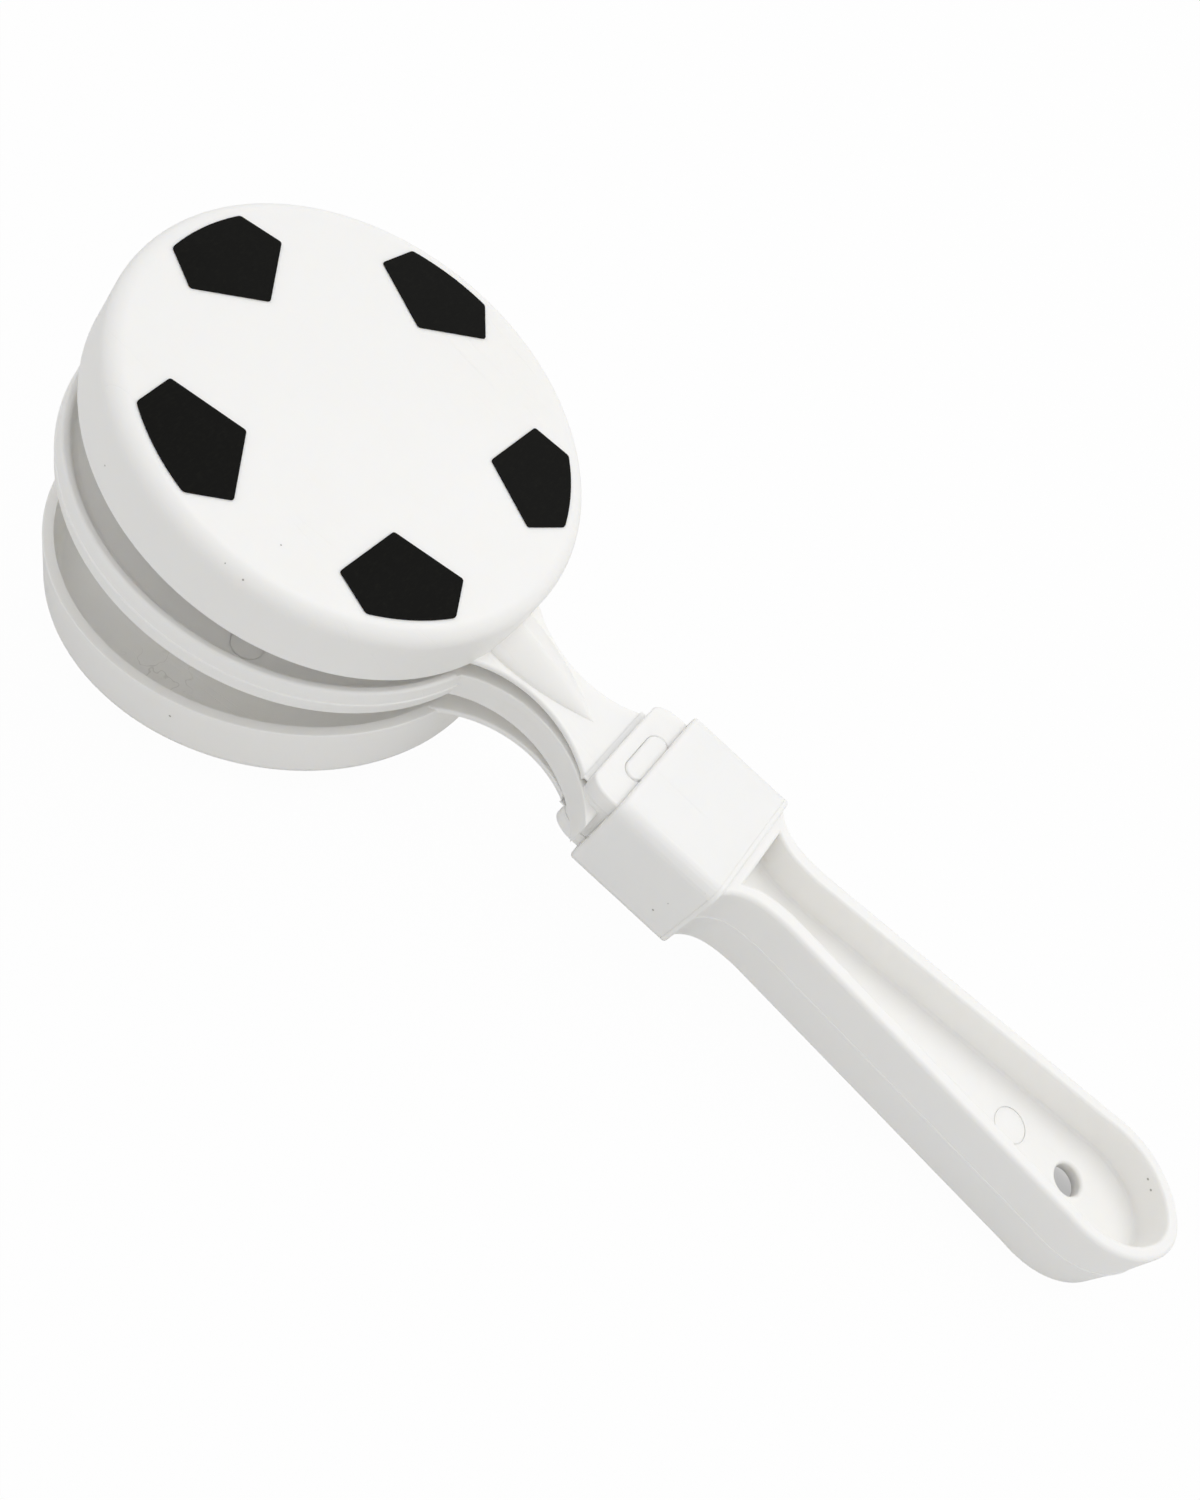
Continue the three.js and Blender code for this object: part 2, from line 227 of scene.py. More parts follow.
def quarter_out(radius: float, steps: int) -> list[Point]:
    """Insets that round a hole's lip, from the flat to the wall."""
    return quarter_in(radius, steps)[::-1]


# Modelling bench


def clear_bench() -> None:
    """Leaves nothing selected and no mesh open for editing."""
    if bpy.context.object and bpy.context.object.mode != "OBJECT":
        bpy.ops.object.mode_set(mode="OBJECT")
    bpy.ops.object.select_all(action="DESELECT")


class Clay:
    """One solid on the bench, in millimetres, shaped with the modelling operators."""

    def __init__(self, thing: bpy.types.Object) -> None:
        """Takes hold of a mesh object at the origin."""
        self.thing = thing

    @classmethod
    def cylinder(
        cls, radius: float, bottom: float, top: float, centre: Point = (0, 0), sides: int = 160
    ) -> "Clay":
        """Adds an upright cylinder.

        Args:
            radius: its radius.
            bottom: height of its lower end.
            top: height of its upper end.
            centre: its axis in plan.
            sides: how many sides it has.

        Returns:
            The cylinder.
        """
        clear_bench()
        bpy.ops.mesh.primitive_cylinder_add(
            vertices=sides, radius=radius, depth=top - bottom, location=(*centre, (bottom + top) / 2)
        )
        bpy.ops.object.transform_apply(location=True, rotation=True, scale=True)
        return cls(bpy.context.object)

    @classmethod
    def slab(cls, outline: Outline, bottom: float, top: float) -> "Clay":
        """Adds a flat face with a given outline and extrudes it.

        Args:
            outline: the plan of the slab.
            bottom: height of its lower face.
            top: height of its upper face.

        Returns:
            The slab.
        """
        clear_bench()
        bpy.ops.mesh.primitive_circle_add(vertices=len(outline), radius=1, fill_type="NGON")
        thing = bpy.context.object
        for vertex, (x, y) in zip(thing.data.vertices, outline):
            vertex.co = (x, y, bottom)
        clay = cls(thing)
        with clay.edited():
            bpy.ops.mesh.select_all(action="SELECT")
            bpy.ops.mesh.extrude_region_move(TRANSFORM_OT_translate={"value": (0, 0, top - bottom)})
            bpy.ops.mesh.select_all(action="SELECT")
            bpy.ops.mesh.normals_make_consistent(inside=False)
        return clay

    @classmethod
    def plate(cls, outline: Outline, half_height: float, edge_round: float, segments: int) -> "Clay":
        """Adds a slab about the middle plane, with both its rims rounded.

        Args:
            outline: the plan of the plate.
            half_height: half its thickness.
            edge_round: how far the rounding of its rims reaches.
            segments: how many facets the rounding has.

        Returns:
            The plate.
        """
        solid = cls.slab(outline, -half_height, half_height)
        for level in (half_height, -half_height):
            solid.round_level(level, edge_round, segments)
        return solid

    def take_up(self) -> None:
        """Makes this the only selected object, and the active one."""
        clear_bench()
        self.thing.select_set(True)
        bpy.context.view_layer.objects.active = self.thing

    @contextmanager
    def edited(self) -> Iterator[bmesh.types.BMesh]:
        """Opens the mesh for editing, and closes it again.

        Yields:
            The mesh, for picking its faces and edges.
        """
        self.take_up()
        bpy.ops.object.mode_set(mode="EDIT")
        try:
            yield bmesh.from_edit_mesh(self.thing.data)
        finally:
            bpy.ops.object.mode_set(mode="OBJECT")

    def modified(self, kind: str, **settings: object) -> "Clay":
        """Adds a modifier and applies it.

        Args:
            kind: the modifier's type.
            settings: its properties.

        Returns:
            The same solid.
        """
        self.take_up()
        bpy.ops.object.modifier_add(type=kind)
        modifier = self.thing.modifiers[-1]
        for key, value in settings.items():
            setattr(modifier, key, value)
        bpy.ops.object.modifier_apply(modifier=modifier.name)
        return self

    def pick(self, mesh: bmesh.types.BMesh, element: Element, test: PairTest) -> None:
        """Selects some faces or edges, and nothing else.

        Args:
            mesh: the mesh that is open.
            element: which of the two is picked.
            test: says whether a face, by its middle and normal, or an edge, by its two ends, is picked.
        """
        bpy.ops.mesh.select_mode(type=element.value)
        bpy.ops.mesh.select_all(action="DESELECT")
        if element is Element.FACES:
            pairs = [(face, face.calc_center_median(), face.normal) for face in mesh.faces]
        else:
            pairs = [(edge, edge.verts[0].co, edge.verts[1].co) for edge in mesh.edges]
        for found, first, second in pairs:
            if test(first, second):
                found.select_set(True)
        bmesh.update_edit_mesh(self.thing.data)

    def step_cap(self, up: bool, steps: list[Point]) -> "Clay":
        """Works the top or bottom face by insets, each also moved along the face's normal.

        Args:
            up: True for the top face.
            steps: how far each inset goes in, and how far out of the solid; no inset is a plain extrusion.

        Returns:
            The same solid.
        """
        sign = 1 if up else -1
        with self.edited() as mesh:
            level = max(sign * v.co.z for v in mesh.verts) - NEAR
            self.pick(mesh, Element.FACES, lambda at, normal: sign * at.z > level and sign * normal.z > 0.99)
            for inward, outward in steps:
                if inward > 0:
                    bpy.ops.mesh.inset(thickness=inward, depth=outward, use_even_offset=True)
                else:
                    bpy.ops.mesh.extrude_region_move(TRANSFORM_OT_translate={"value": (0, 0, sign * outward)})
        return self

    def round_edges(self, test: PairTest, radius: float, segments: int) -> "Clay":
        """Bevels the edges that a test picks.

        Args:
            test: says of an edge's two ends whether it is rounded.
            radius: how far the rounding reaches.
            segments: how many facets it has.

        Returns:
            The same solid.
        """
        with self.edited() as mesh:
            self.pick(mesh, Element.EDGES, test)
            bpy.ops.mesh.bevel(
                offset_type="OFFSET", offset=radius, segments=segments, affect="EDGES", clamp_overlap=False
            )
        return self

    def round_level(self, level: float, radius: float, segments: int) -> "Clay":
        """Bevels the edges that lie all round at one height."""
        return self.round_edges(lambda a, b: all(abs(v.z - level) < NEAR for v in (a, b)), radius, segments)

    def split_wide_faces(self) -> None:
        """Splits the faces of more than four corners, so that a boolean cuts each one cleanly."""
        with self.edited():
            bpy.ops.mesh.select_mode(type="FACE")
            bpy.ops.mesh.select_all(action="DESELECT")
            bpy.ops.mesh.select_face_by_sides(number=4, type="GREATER")
            bpy.ops.mesh.quads_convert_to_tris(ngon_method="BEAUTY")

    def combined(self, other: "Clay", merge: Merge) -> "Clay":
        """Joins, cuts or crosses this solid with another, which is used up.

        Args:
            other: the other solid.
            merge: what becomes of this one.

        Returns:
            This solid, changed.
        """
        for solid in (self, other):
            solid.split_wide_faces()
        self.modified("BOOLEAN", operation=merge.value, solver="MANIFOLD", object=other.thing)
        bpy.data.objects.remove(other.thing)
        return self

    def join(self, other: "Clay") -> "Clay":
        """Adds another solid to this one."""
        return self.combined(other, Merge.JOIN)

    def cut(self, other: "Clay") -> "Clay":
        """Takes another solid out of this one."""
        return self.combined(other, Merge.CUT)

    def cross(self, other: "Clay") -> "Clay":
        """Keeps what this solid shares with another."""
        return self.combined(other, Merge.CROSS)

    def turned(self, matrix: Matrix) -> "Clay":
        """Turns or moves the mesh itself."""
        self.thing.data.transform(matrix)
        return self

    def copied(self) -> "Clay":
        """Makes a copy with its own mesh.

        Returns:
            The copy.
        """
        twin = self.thing.copy()
        twin.data = self.thing.data.copy()
        bpy.context.scene.collection.objects.link(twin)
        return Clay(twin)

    def fired(self, name: str, place: Matrix, material: bpy.types.Material) -> bpy.types.Object:
        """Finishes the solid: puts it in its place in metres, smooths its shading and gives it its material.

        Args:
            name: the finished piece's name.
            place: from the drawing frame, in millimetres, to the part's frame, in metres.
            material: its finish.

        Returns:
            The finished object, at the origin with its place in its mesh.
        """
        with self.edited():
            bpy.ops.mesh.select_all(action="SELECT")
            bpy.ops.mesh.dissolve_degenerate(threshold=SLIVER)
            bpy.ops.mesh.normals_make_consistent(inside=False)
        self.turned(place).take_up()
        bpy.ops.object.shade_smooth_by_angle(angle=SHARP_ANGLE)
        self.modified("WEIGHTED_NORMAL", keep_sharp=True)
        self.thing.name = self.thing.data.name = name
        self.thing.data.materials.clear()
        self.thing.data.materials.append(material)
        return self.thing


# Shader nodes


class Field:
    """A socket of numbers that takes Python arithmetic, each operation adding its Math node."""

    def __init__(self, nodes: "Nodes", socket: bpy.types.NodeSocket) -> None:
        """Wraps an output socket of a node tree."""
        self.nodes = nodes
        self.socket = socket

    def _math(self, operation: str, *values: "Field | float") -> "Field":
        """Adds one Math node and returns its result."""
        made = self.nodes.add("ShaderNodeMath", {"operation": operation}, dict(enumerate(values)))
        return Field(self.nodes, made.outputs[0])

    def __add__(self, other: "Field | float") -> "Field":
        """Sum."""
        return self._math("ADD", self, other)

    __radd__ = __add__

    def __mul__(self, other: "Field | float") -> "Field":
        """Product."""
        return self._math("MULTIPLY", self, other)

    __rmul__ = __mul__

    def __sub__(self, other: "Field | float") -> "Field":
        """Difference."""
        return self._math("SUBTRACT", self, other)

    def __rsub__(self, other: float) -> "Field":
        """Difference from a number."""
        return self._math("SUBTRACT", other, self)

    def __abs__(self) -> "Field":
        """Size without sign."""
        return self._math("ABSOLUTE", self)

    def most(self, other: "Field | float") -> "Field":
        """The larger of two."""
        return self._math("MAXIMUM", self, other)

    def step(self, low: float, high: float) -> "Field":
        """Rises smoothly from 0 at one value to 1 at another, or falls where low is above high.

        Args:
            low: where it is 0.
            high: where it is 1.

        Returns:
            The stepped value.
        """
        ends = (0.0, 1.0) if low < high else (1.0, 0.0)
        made = self.nodes.add(
            "ShaderNodeMapRange",
            {"interpolation_type": "SMOOTHSTEP"},
            {0: self, 1: min(low, high), 2: max(low, high), 3: ends[0], 4: ends[1]},
        )
        return Field(self.nodes, made.outputs[0])


class Nodes:
    """A node tree, whose nodes are all added by one method."""

    def __init__(self, tree: bpy.types.NodeTree) -> None:
        """Takes hold of a node tree."""
        self.tree = tree

    def add(self, kind: str, settings: dict[str, object], inputs: dict[object, object]) -> bpy.types.Node:
        """Adds a node.

        Args:
            kind: the node's type.
            settings: its properties, which are set before its sockets.
            inputs: for a socket's name or number, a value or what is linked to it.

        Returns:
            The node.
        """
        made = self.tree.nodes.new(kind)
        for key, value in settings.items():
            setattr(made, key, value)
        for key, value in inputs.items():
            self.feed(made.inputs[key], value)
        return made

    def feed(self, socket: bpy.types.NodeSocket, value: object) -> None:
        """Sets a socket, or links it.

        Args:
            socket: the socket that takes the value.
            value: a number, a vector, a socket or a field.
        """
        if isinstance(value, Field):
            value = value.socket
        if isinstance(value, bpy.types.NodeSocket):
            self.tree.links.new(value, socket)
        else:
            socket.default_value = value


class Graph(Nodes):
    """A material's node tree, drawn in millimetres of the piece's own frame."""

    def __init__(self, name: str, place: Matrix) -> None:
        """Starts a material.

        Args:
            name: the material's name.
            place: from the drawing frame, in millimetres, to the part's frame, in metres.
        """
        self.material = bpy.data.materials.new(name)
        self.material.use_nodes = True
        super().__init__(self.material.node_tree)
        self.shader = self.tree.nodes["Principled BSDF"]
        where, turn, size = place.decompose()
        here = self.add("ShaderNodeTexCoord", {}, {}).outputs["Object"]
        self.point = self.add(
            "ShaderNodeMapping",
            {"vector_type": "TEXTURE"},
            {"Vector": here, "Location": where, "Rotation": turn.to_euler(), "Scale": size},
        ).outputs[0]

    def set(self, values: dict[str, object]) -> None:
        """Sets or links sockets of the shader itself."""
        for name, value in values.items():
            self.feed(self.shader.inputs[name], value)

    def stretched(self, turn: float, scale: Place) -> bpy.types.NodeSocket:
        """The point, turned in plan and stretched.

        Args:
            turn: rotation about Z, in degrees.
            scale: factor along each axis.

        Returns:
            The socket of the stretched point.
        """
        return self.add(
            "ShaderNodeMapping",
            {"vector_type": "POINT"},
            {"Vector": self.point, "Rotation": Euler((0, 0, math.radians(turn))), "Scale": scale},
        ).outputs[0]

    def noise(self, size: float, detail: float = 3, at: bpy.types.NodeSocket | None = None) -> Field:
        """Smooth noise about 0.5.

        Args:
            size: the size of its features.
            detail: how many finer layers it has.
            at: where it is read, if not at the point itself.

        Returns:
            The noise.
        """
        inputs = {"Vector": at or self.point, "Scale": 1 / size, "Detail": detail}
        return Field(self, self.add("ShaderNodeTexNoise", {"noise_dimensions": "3D"}, inputs).outputs[0])

    def cells(
        self, size: float, measured: Cell = Cell.MIDDLE, at: bpy.types.NodeSocket | None = None
    ) -> tuple[Field, bpy.types.NodeSocket]:
        """Scattered cells.

        Args:
            size: the size of a cell.
            measured: what the distance is measured to.
            at: where they are read, if not at the point itself.

        Returns:
            The distance, as a share of a cell, and each cell's random colour.
        """
        inputs = {"Vector": at or self.point, "Scale": 1 / size}
        made = self.add("ShaderNodeTexVoronoi", {"feature": measured.value}, inputs)
        return Field(self, made.outputs["Distance"]), made.outputs.get("Color")

    def distance_to(self, place: Sequence[float]) -> Field:
        """Distance from the shaded point to a place."""
        made = self.add("ShaderNodeVectorMath", {"operation": "DISTANCE"}, {0: self.point, 1: place})
        return Field(self, made.outputs["Value"])

    def blend(
        self, share: Field, first: tuple[float, ...] | bpy.types.NodeSocket, second: tuple[float, ...]
    ) -> bpy.types.NodeSocket:
        """Mixes two colours.

        Args:
            share: how much of the second colour there is.
            first: the first colour, or a socket that gives it.
            second: the second colour.

        Returns:
            The mixed colour's socket.
        """
        return self.add("ShaderNodeMix", {"data_type": "RGBA"}, {0: share, 6: first, 7: second}).outputs[2]

    def bump(self, height: Field, reach: float, strength: float = 1) -> None:
        """Gives the surface relief.

        Args:
            height: the relief, as a share of its reach.
            reach: the height of a full step.
            strength: how much of it shows.
        """
        inputs = {"Strength": strength, "Distance": reach * MM, "Height": height}
        self.set({"Normal": self.add("ShaderNodeBump", {}, inputs).outputs[0]})


def rgb(red: float, green: float, blue: float) -> tuple[float, ...]:
    """A screen colour of 0 to 255 as the shader's linear colour.

    Args:
        red: its red.
        green: its green.
        blue: its blue.

    Returns:
        Red, green, blue and full alpha.
    """
    shares = [channel / 255 for channel in (red, green, blue)]
    return (*(c / 12.92 if c <= 0.04045 else ((c + 0.055) / 1.055) ** 2.4 for c in shares), 1.0)


# Finishes


@dataclass(frozen=True)
class MouldedPlastic:
    """Off-white moulded plastic: clean, semi-gloss, with handling marks and a few dark specks.

    A run of scratches has a direction in degrees, a spacing and a width.
    """

    colour: tuple[float, ...] = rgb(252, 251, 248)
    shade: tuple[float, ...] = rgb(249, 247, 242)
    dirt: tuple[float, ...] = rgb(96, 90, 80)
    dirt_share: float = 0.65
    roughness: float = 0.36
    refraction: float = 1.49
    milk: float = 0.5
    milk_depth: float = 1.2
    milk_tint: Place = (1.0, 0.93, 0.8)
    cloud_size: float = 34
    grime_size: float = 5.2
    hair_size: float = 5.5
    dust_cell: float = 9
    pore_size: float = 0.9
    wave_size: float = 3.4
    relief: float = 0.05
    scratch_runs: tuple[Place, ...] = ((24, 7, 0.055), (-52, 9, 0.05), (80, 11, 0.05))
    scratch_stretch: float = 0.035
    specks: tuple[Spot, ...] = ()
    scuffs: tuple[Spot, ...] = ()

    def scratches(self, graph: Graph) -> Field:
        """Fine straight scratches in a few directions, broken up and faded by noise.

        Args:
            graph: the material's graph.

        Returns:
            1 in a scratch and 0 elsewhere.
        """
        runs = []
        for turn, spacing, width in self.scratch_runs:
            along = graph.stretched(turn, (self.scratch_stretch, 1, 1))
            distance, _ = graph.cells(spacing, Cell.EDGE, along)
            runs.append(distance.step(width / spacing, 0.0) * graph.noise(spacing * 3.1).step(0.56, 0.7))
        marks = runs[0]
        for run in runs[1:]:
            marks = marks.most(run)
        return marks

    def soiling(self, graph: Graph, grime: Field) -> Field:
        """Dust, the specks at their places, and the hair-fine smears of the scuffs.

        Args:
            graph: the material's graph.
            grime: the noise of the handling marks.

        Returns:
            1 in a speck and 0 on clean plastic.
        """
        distance, tint = graph.cells(self.dust_cell)
        chosen = Field(graph, graph.add("ShaderNodeSeparateXYZ", {}, {0: tint}).outputs[0]).step(0.9, 0.92)
        soiled = distance.step(0.016, 0.008) * chosen
        for *place, radius in self.specks:
            soiled = soiled.most(graph.distance_to(place).step(radius, radius * 0.55))
        hairs = abs(graph.noise(self.hair_size, 2) - 0.5).step(0.012, 0.003) * 0.3
        for *place, radius in self.scuffs:
            near = graph.distance_to(place).step(radius, radius * 0.4)
            soiled = soiled.most(near * (hairs + grime.step(0.62, 0.8) * 0.4))
        return soiled

    def material(self, name: str, place: Matrix) -> bpy.types.Material:
        """Makes the finish for a piece.

        Args:
            name: the material's name.
            place: from the drawing frame, in millimetres, to the part's frame, in metres.

        Returns:
            The material.
        """
        graph = Graph(name, place)
        clouds = graph.noise(self.cloud_size, 2)
        grime = graph.noise(self.grime_size, 4)
        marks = self.scratches(graph)
        soiled = self.soiling(graph, grime)
        yellowed = clouds.step(0.35, 0.75) * 0.55 + grime.step(0.5, 0.8) * 0.2
        clean = graph.blend(yellowed, self.colour, self.shade)
        graph.set({
            "Base Color": graph.blend(soiled * self.dirt_share, clean, self.dirt),
            "Roughness": self.roughness + (grime - 0.5) * 0.12 + marks * 0.16 + (clouds - 0.5) * 0.06,
            "IOR": self.refraction,
            "Subsurface Weight": self.milk,
            "Subsurface Radius": self.milk_tint,
            "Subsurface Scale": self.milk_depth * MM,
        })
        skin = graph.noise(self.pore_size, 2) * 0.12 + graph.noise(self.wave_size, 1) * 0.2
        graph.bump(skin + marks * -0.5 + soiled * 0.3, self.relief)
        return graph.material


@dataclass(frozen=True)
class MattBlackFilm:
    """Matt black sticker film with a fine slanting print grain and pale worn specks."""

    colour: tuple[float, ...] = rgb(9, 9, 7)
    worn: tuple[float, ...] = rgb(32, 32, 28)
    roughness: float = 0.58
    gloss: float = 0.06
    grain_size: float = 0.42
    grain_turn: float = 38
    weave_size: float = 1.6
    cloud_size: float = 12
    dot_cell: float = 1.9
    relief: float = 0.03

    def material(self, name: str, place: Matrix) -> bpy.types.Material:
        """Makes the finish for a piece.

        Args:
            name: the material's name.
            place: from the drawing frame, in millimetres, to the part's frame, in metres.

        Returns:
            The material.
        """
        graph = Graph(name, place)
        grain = graph.noise(self.grain_size, 2, graph.stretched(self.grain_turn, (1, 0.3, 1)))
        weave = graph.noise(self.weave_size, 3)
        clouds = graph.noise(self.cloud_size, 2)
        distance, _ = graph.cells(self.dot_cell)
        dots = distance.step(0.05, 0.02) * clouds.step(0.5, 0.62)
        share = grain.step(0.45, 0.8) * 0.3 + weave.step(0.5, 0.8) * 0.15 + dots * 0.6
        graph.set({
            "Base Color": graph.blend(share, self.colour, self.worn),
            "Roughness": self.roughness + (grain - 0.5) * 0.25 + (clouds - 0.5) * 0.1,
            "Specular IOR Level": self.gloss,
        })
        graph.bump(grain * 0.5 + weave * 0.5, self.relief, 0.7)
        return graph.material


# The clapper's frame


@dataclass(frozen=True)
class Layout:
    """What the pieces share: how the clapper lies in the part's frame, its neck's curve, corners and pegs."""

    tilt: float = math.radians(6.733827)
    hinge_x: float = 72.6
    hinge_height: float = 4.85
    openings: dict[Side, float] = field(
        default_factory=lambda: {Side.TOP: math.radians(6.3), Side.BOTTOM: math.radians(10.5)}
    )
    waist_to_hinge: float = 14.4
    neck_waist: float = 5.7
    neck_curve: float = 23.4
    corner_length: float = 5.2
    corner_width: float = 2.7
    peg_x: float = 78.2
    peg_half_length: float = 6.0
    peg_half_width: float = 2.3

    def whole(self) -> Matrix:
        """From the drawing frame, in millimetres, to the part's frame, in metres.

        Returns:
            The matrix.
        """
        pivots = [Vector(joint["pos_m"]) for joint in frame["joints"]]
        middle = sum(pivots, Vector()) / len(pivots)
        turn = Matrix.Rotation(self.tilt, 4, "Y")
        centre = Matrix.Translation((-self.hinge_x, 0, 0))
        return Matrix.Translation(middle) @ turn @ Matrix.Scale(MM, 4) @ centre

    def side(self, side: Side) -> Matrix:
        """The same for the fixed pieces of one clapper, drawn for the upper one."""
        return self.whole() @ (Matrix.Rotation(math.pi, 4, "X") if side is Side.BOTTOM else Matrix())

    def swung(self, side: Side) -> Matrix:
        """The same for the swinging pieces of one clapper, drawn closed for the upper one."""
        pivot = Matrix.Translation((self.hinge_x, 0, self.hinge_height))
        return self.side(side) @ pivot @ Matrix.Rotation(self.openings[side], 4, "Y") @ pivot.inverted()

    def neck_half(self, start: float, end: float, extra: float) -> Outline:
        """Half the outline of a neck, an arc that is narrowest at the waist.

        Args:
            start: where it starts along the handle.
            end: where it ends.
            extra: how much wider it is than a shell's neck, on each side.

        Returns:
            Points with rising X.
        """
        waist_x, steps = self.hinge_x - self.waist_to_hinge, 28
        points = []
        for step in range(steps + 1):
            x = start + (end - start) * step / steps
            sagitta = math.sqrt(self.neck_curve**2 - (x - waist_x) ** 2)
            points.append((x, self.neck_waist + extra + self.neck_curve - sagitta))
        return points

    def tab_half(self, front: float, end: float, half_width: float) -> Outline:
        """Half the outline of the hinge block or a tab, its front corner a quarter of an ellipse.

        Args:
            front: where it starts along the handle.
            end: where it ends.
            half_width: half its full width.

        Returns:
            Points with rising X.
        """
        length, width = self.corner_length, self.corner_width
        quarter = arc((0, 0), 1, math.pi, math.pi / 2, 12)
        corner = [(front + length * (1 + x), half_width + width * (y - 1)) for x, y in quarter]
        return corner + [(end, half_width)]


def settle(piece: bpy.types.Object, body: Body, node: str) -> None:
    """Fixes a finished piece to its body and reports it.

    Args:
        piece: the finished piece.
        body: the body that it moves with.
        node: the CAD node that it stands for.
    """
    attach(piece, body.value)
    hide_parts(node)
    log.info("%s: %d faces, rides on %s", piece.name, len(piece.data.polygons), body.value)


def on_circle(radius: float, height: float) -> PairTest:
    """Picks the edges of one circle about the middle of the paddle, on both faces.

    Args:
        radius: the circle's radius.
        height: how far it is from the middle plane.

    Returns:
        The test of an edge's two ends.
    """
    return lambda a, b: all(
        abs(v.xy.length - radius) < HAIR and abs(abs(v.z) - height) < NEAR for v in (a, b)
    )


# Sub-assemblies


@dataclass
class Moulding:
    """The middle moulding: rimmed paddle, neck, hinge block with its pegs, and channelled handle.

    flare_steep, flare_reach, end_swell and end_tip are shares of a curve's length or width, and notch runs
    from one place along the handle to another.
    """

    layout: Layout
    ring_radius: float = 45.6
    ring_half_height: float = 3.6
    ring_band: float = 2.0
    ring_slope: float = 1.0
    ring_ridge: float = 0.22
    ring_inner_round: float = 0.45
    ring_outer_round: float = 0.6
    web: float = 1.0
    web_cove: float = 0.8
    web_mark: Point = (15.0, -35.6)
    web_mark_radius: float = 3.0
    notch: Point = (30.0, 60.0)
    notch_top: float = 9.0
    bead: float = 0.1
    bead_rise: float = 0.16
    side_lean: float = 0.3
    neck_half_height: float = 3.3
    neck_extra: float = 0.4
    neck_round: float = 0.35
    neck_notch_extra: float = 0.3
    neck_overlap: float = 0.3
    neck_in_block: float = 5.0
    block_front: float = 73.15
    block_half_height: float = 4.6
    block_half_width: float = 13.0
    block_round: float = 0.4
    shoulder_half_width: float = 13.7
    handle_start: float = 100.1
    shoulder_end: float = 103.5
    waist_x: float = 116.7
    waist_half_width: float = 8.4
    flare_steep: Point = (0.2, 0.8)
    flare_reach: float = 0.46
    grip_x: float = 186.9
    grip_half_width: float = 13.4
    end_x: float = 208.4
    end_swell: Point = (0.6, 1.16)
    end_tip: float = 0.5
    half_thickness: float = 9.6
    edge_round: float = 0.95
    rim: float = 3.1
    lip_round: float = 0.65
    floor_round: float = 0.7
    channel_floor: float = 1.6
    channel_inset: float = 2.1
    channel_start_half_width: float = 7.4
    channel_waist_inset: float = 0.5
    channel_corner_clear: float = 3.2
    channel_overshoot: float = 0.015
    draft: float = 0.4
    hole_x: float = 188.4
    hole_radius: float = 3.0
    hole_lip: float = 0.8
    mark_x: float = 173.6
    mark_radius: float = 3.5
    mark_groove: float = 0.1
    mark_groove_depth: float = 0.3
    mark_depth: float = 0.05
    peg_top: float = 8.45
    peg_round: float = 0.5

    def end_half(self) -> Outline:
        """Half the outline of the handle's rounded end.

        Returns:
            Points with rising X.
        """
        start, end, width = self.grip_x, self.end_x, self.grip_half_width
        swell = (start + self.end_swell[0] * (end - start), self.end_swell[1] * width)
        return bezier([(start, width), swell, (end, self.end_tip * width), (end, 0)], 26)

    def handle_half(self) -> Outline:
        """Half the outline of the handle, from its shoulder in the collar to its end.

        Returns:
            Points with rising X.
        """
        start, width, waist = self.shoulder_end, self.shoulder_half_width, self.waist_half_width
        reach = self.waist_x - start
        steep = (start + self.flare_steep[0] * reach, width - self.flare_steep[1] * (width - waist))
        level = (start + self.flare_reach * reach, waist)
        flare = bezier([(start, width), steep, level, (self.waist_x, waist)], 20)
        return [(self.handle_start, width), *flare, *self.end_half()]

    def channel_half(self) -> Outline:
        """Half the outline of a channel at its lip, with no other points near its sharp front corner.

        Returns:
            Points with rising X.
        """
        start, width = self.shoulder_end + self.channel_inset, self.channel_start_half_width
        waist = self.waist_half_width - self.rim - self.channel_waist_inset
        reach = self.waist_x - self.shoulder_end
        turn = (start + self.flare_steep[0] * reach, waist)
        flare = bezier([(start, width), turn, (self.waist_x, waist)], 16)
        front = flare[0]
        flare = [front, *(point for point in flare if math.dist(point, front) > self.channel_corner_clear)]
        inner_end = offset(mirrored(self.end_half()), -self.rim)[1 : len(self.end_half()) - 1]
        grip = (self.grip_x, self.grip_half_width - self.rim)
        return [*flare, grip, *inner_end, (self.end_x - self.rim, 0)]

    def disc(self) -> Clay:
        """Makes the paddle: a web inside a rounded rim, the same on both faces.

        Returns:
            The paddle.
        """
        ridge = self.ring_ridge
        outer, inner = self.ring_radius - ridge - self.side_lean, self.ring_radius - self.ring_band
        solid = Clay.cylinder(self.ring_radius, -ridge, ridge)
        for up in (True, False):
            solid.step_cap(up, [(ridge, ridge), (self.side_lean, self.ring_half_height - 2 * ridge)])
            solid.step_cap(up, [(outer - inner, 0), (self.ring_slope, self.web - self.ring_half_height)])
        solid.round_edges(on_circle(inner - self.ring_slope, self.web), self.web_cove, 4)
        solid.round_edges(on_circle(inner, self.ring_half_height), self.ring_inner_round, 4)
        return solid.round_edges(on_circle(outer, self.ring_half_height), self.ring_outer_round, 5)

    def neck(self, inner: float) -> Clay:
        """Makes the neck, from inside the ring to inside the block.

        Args:
            inner: the web's radius.

        Returns:
            The neck.
        """
        end = self.block_front + self.neck_in_block
        half = self.layout.neck_half(inner - self.neck_overlap, end, self.neck_extra)
        return Clay.plate(mirrored(half), self.neck_half_height, self.neck_round, 3)

    def block(self) -> Clay:
        """Makes the hinge block."""
        half = self.layout.tab_half(self.block_front, self.shoulder_end, self.block_half_width)
        return Clay.plate(mirrored(half), self.block_half_height, self.block_round, 3)

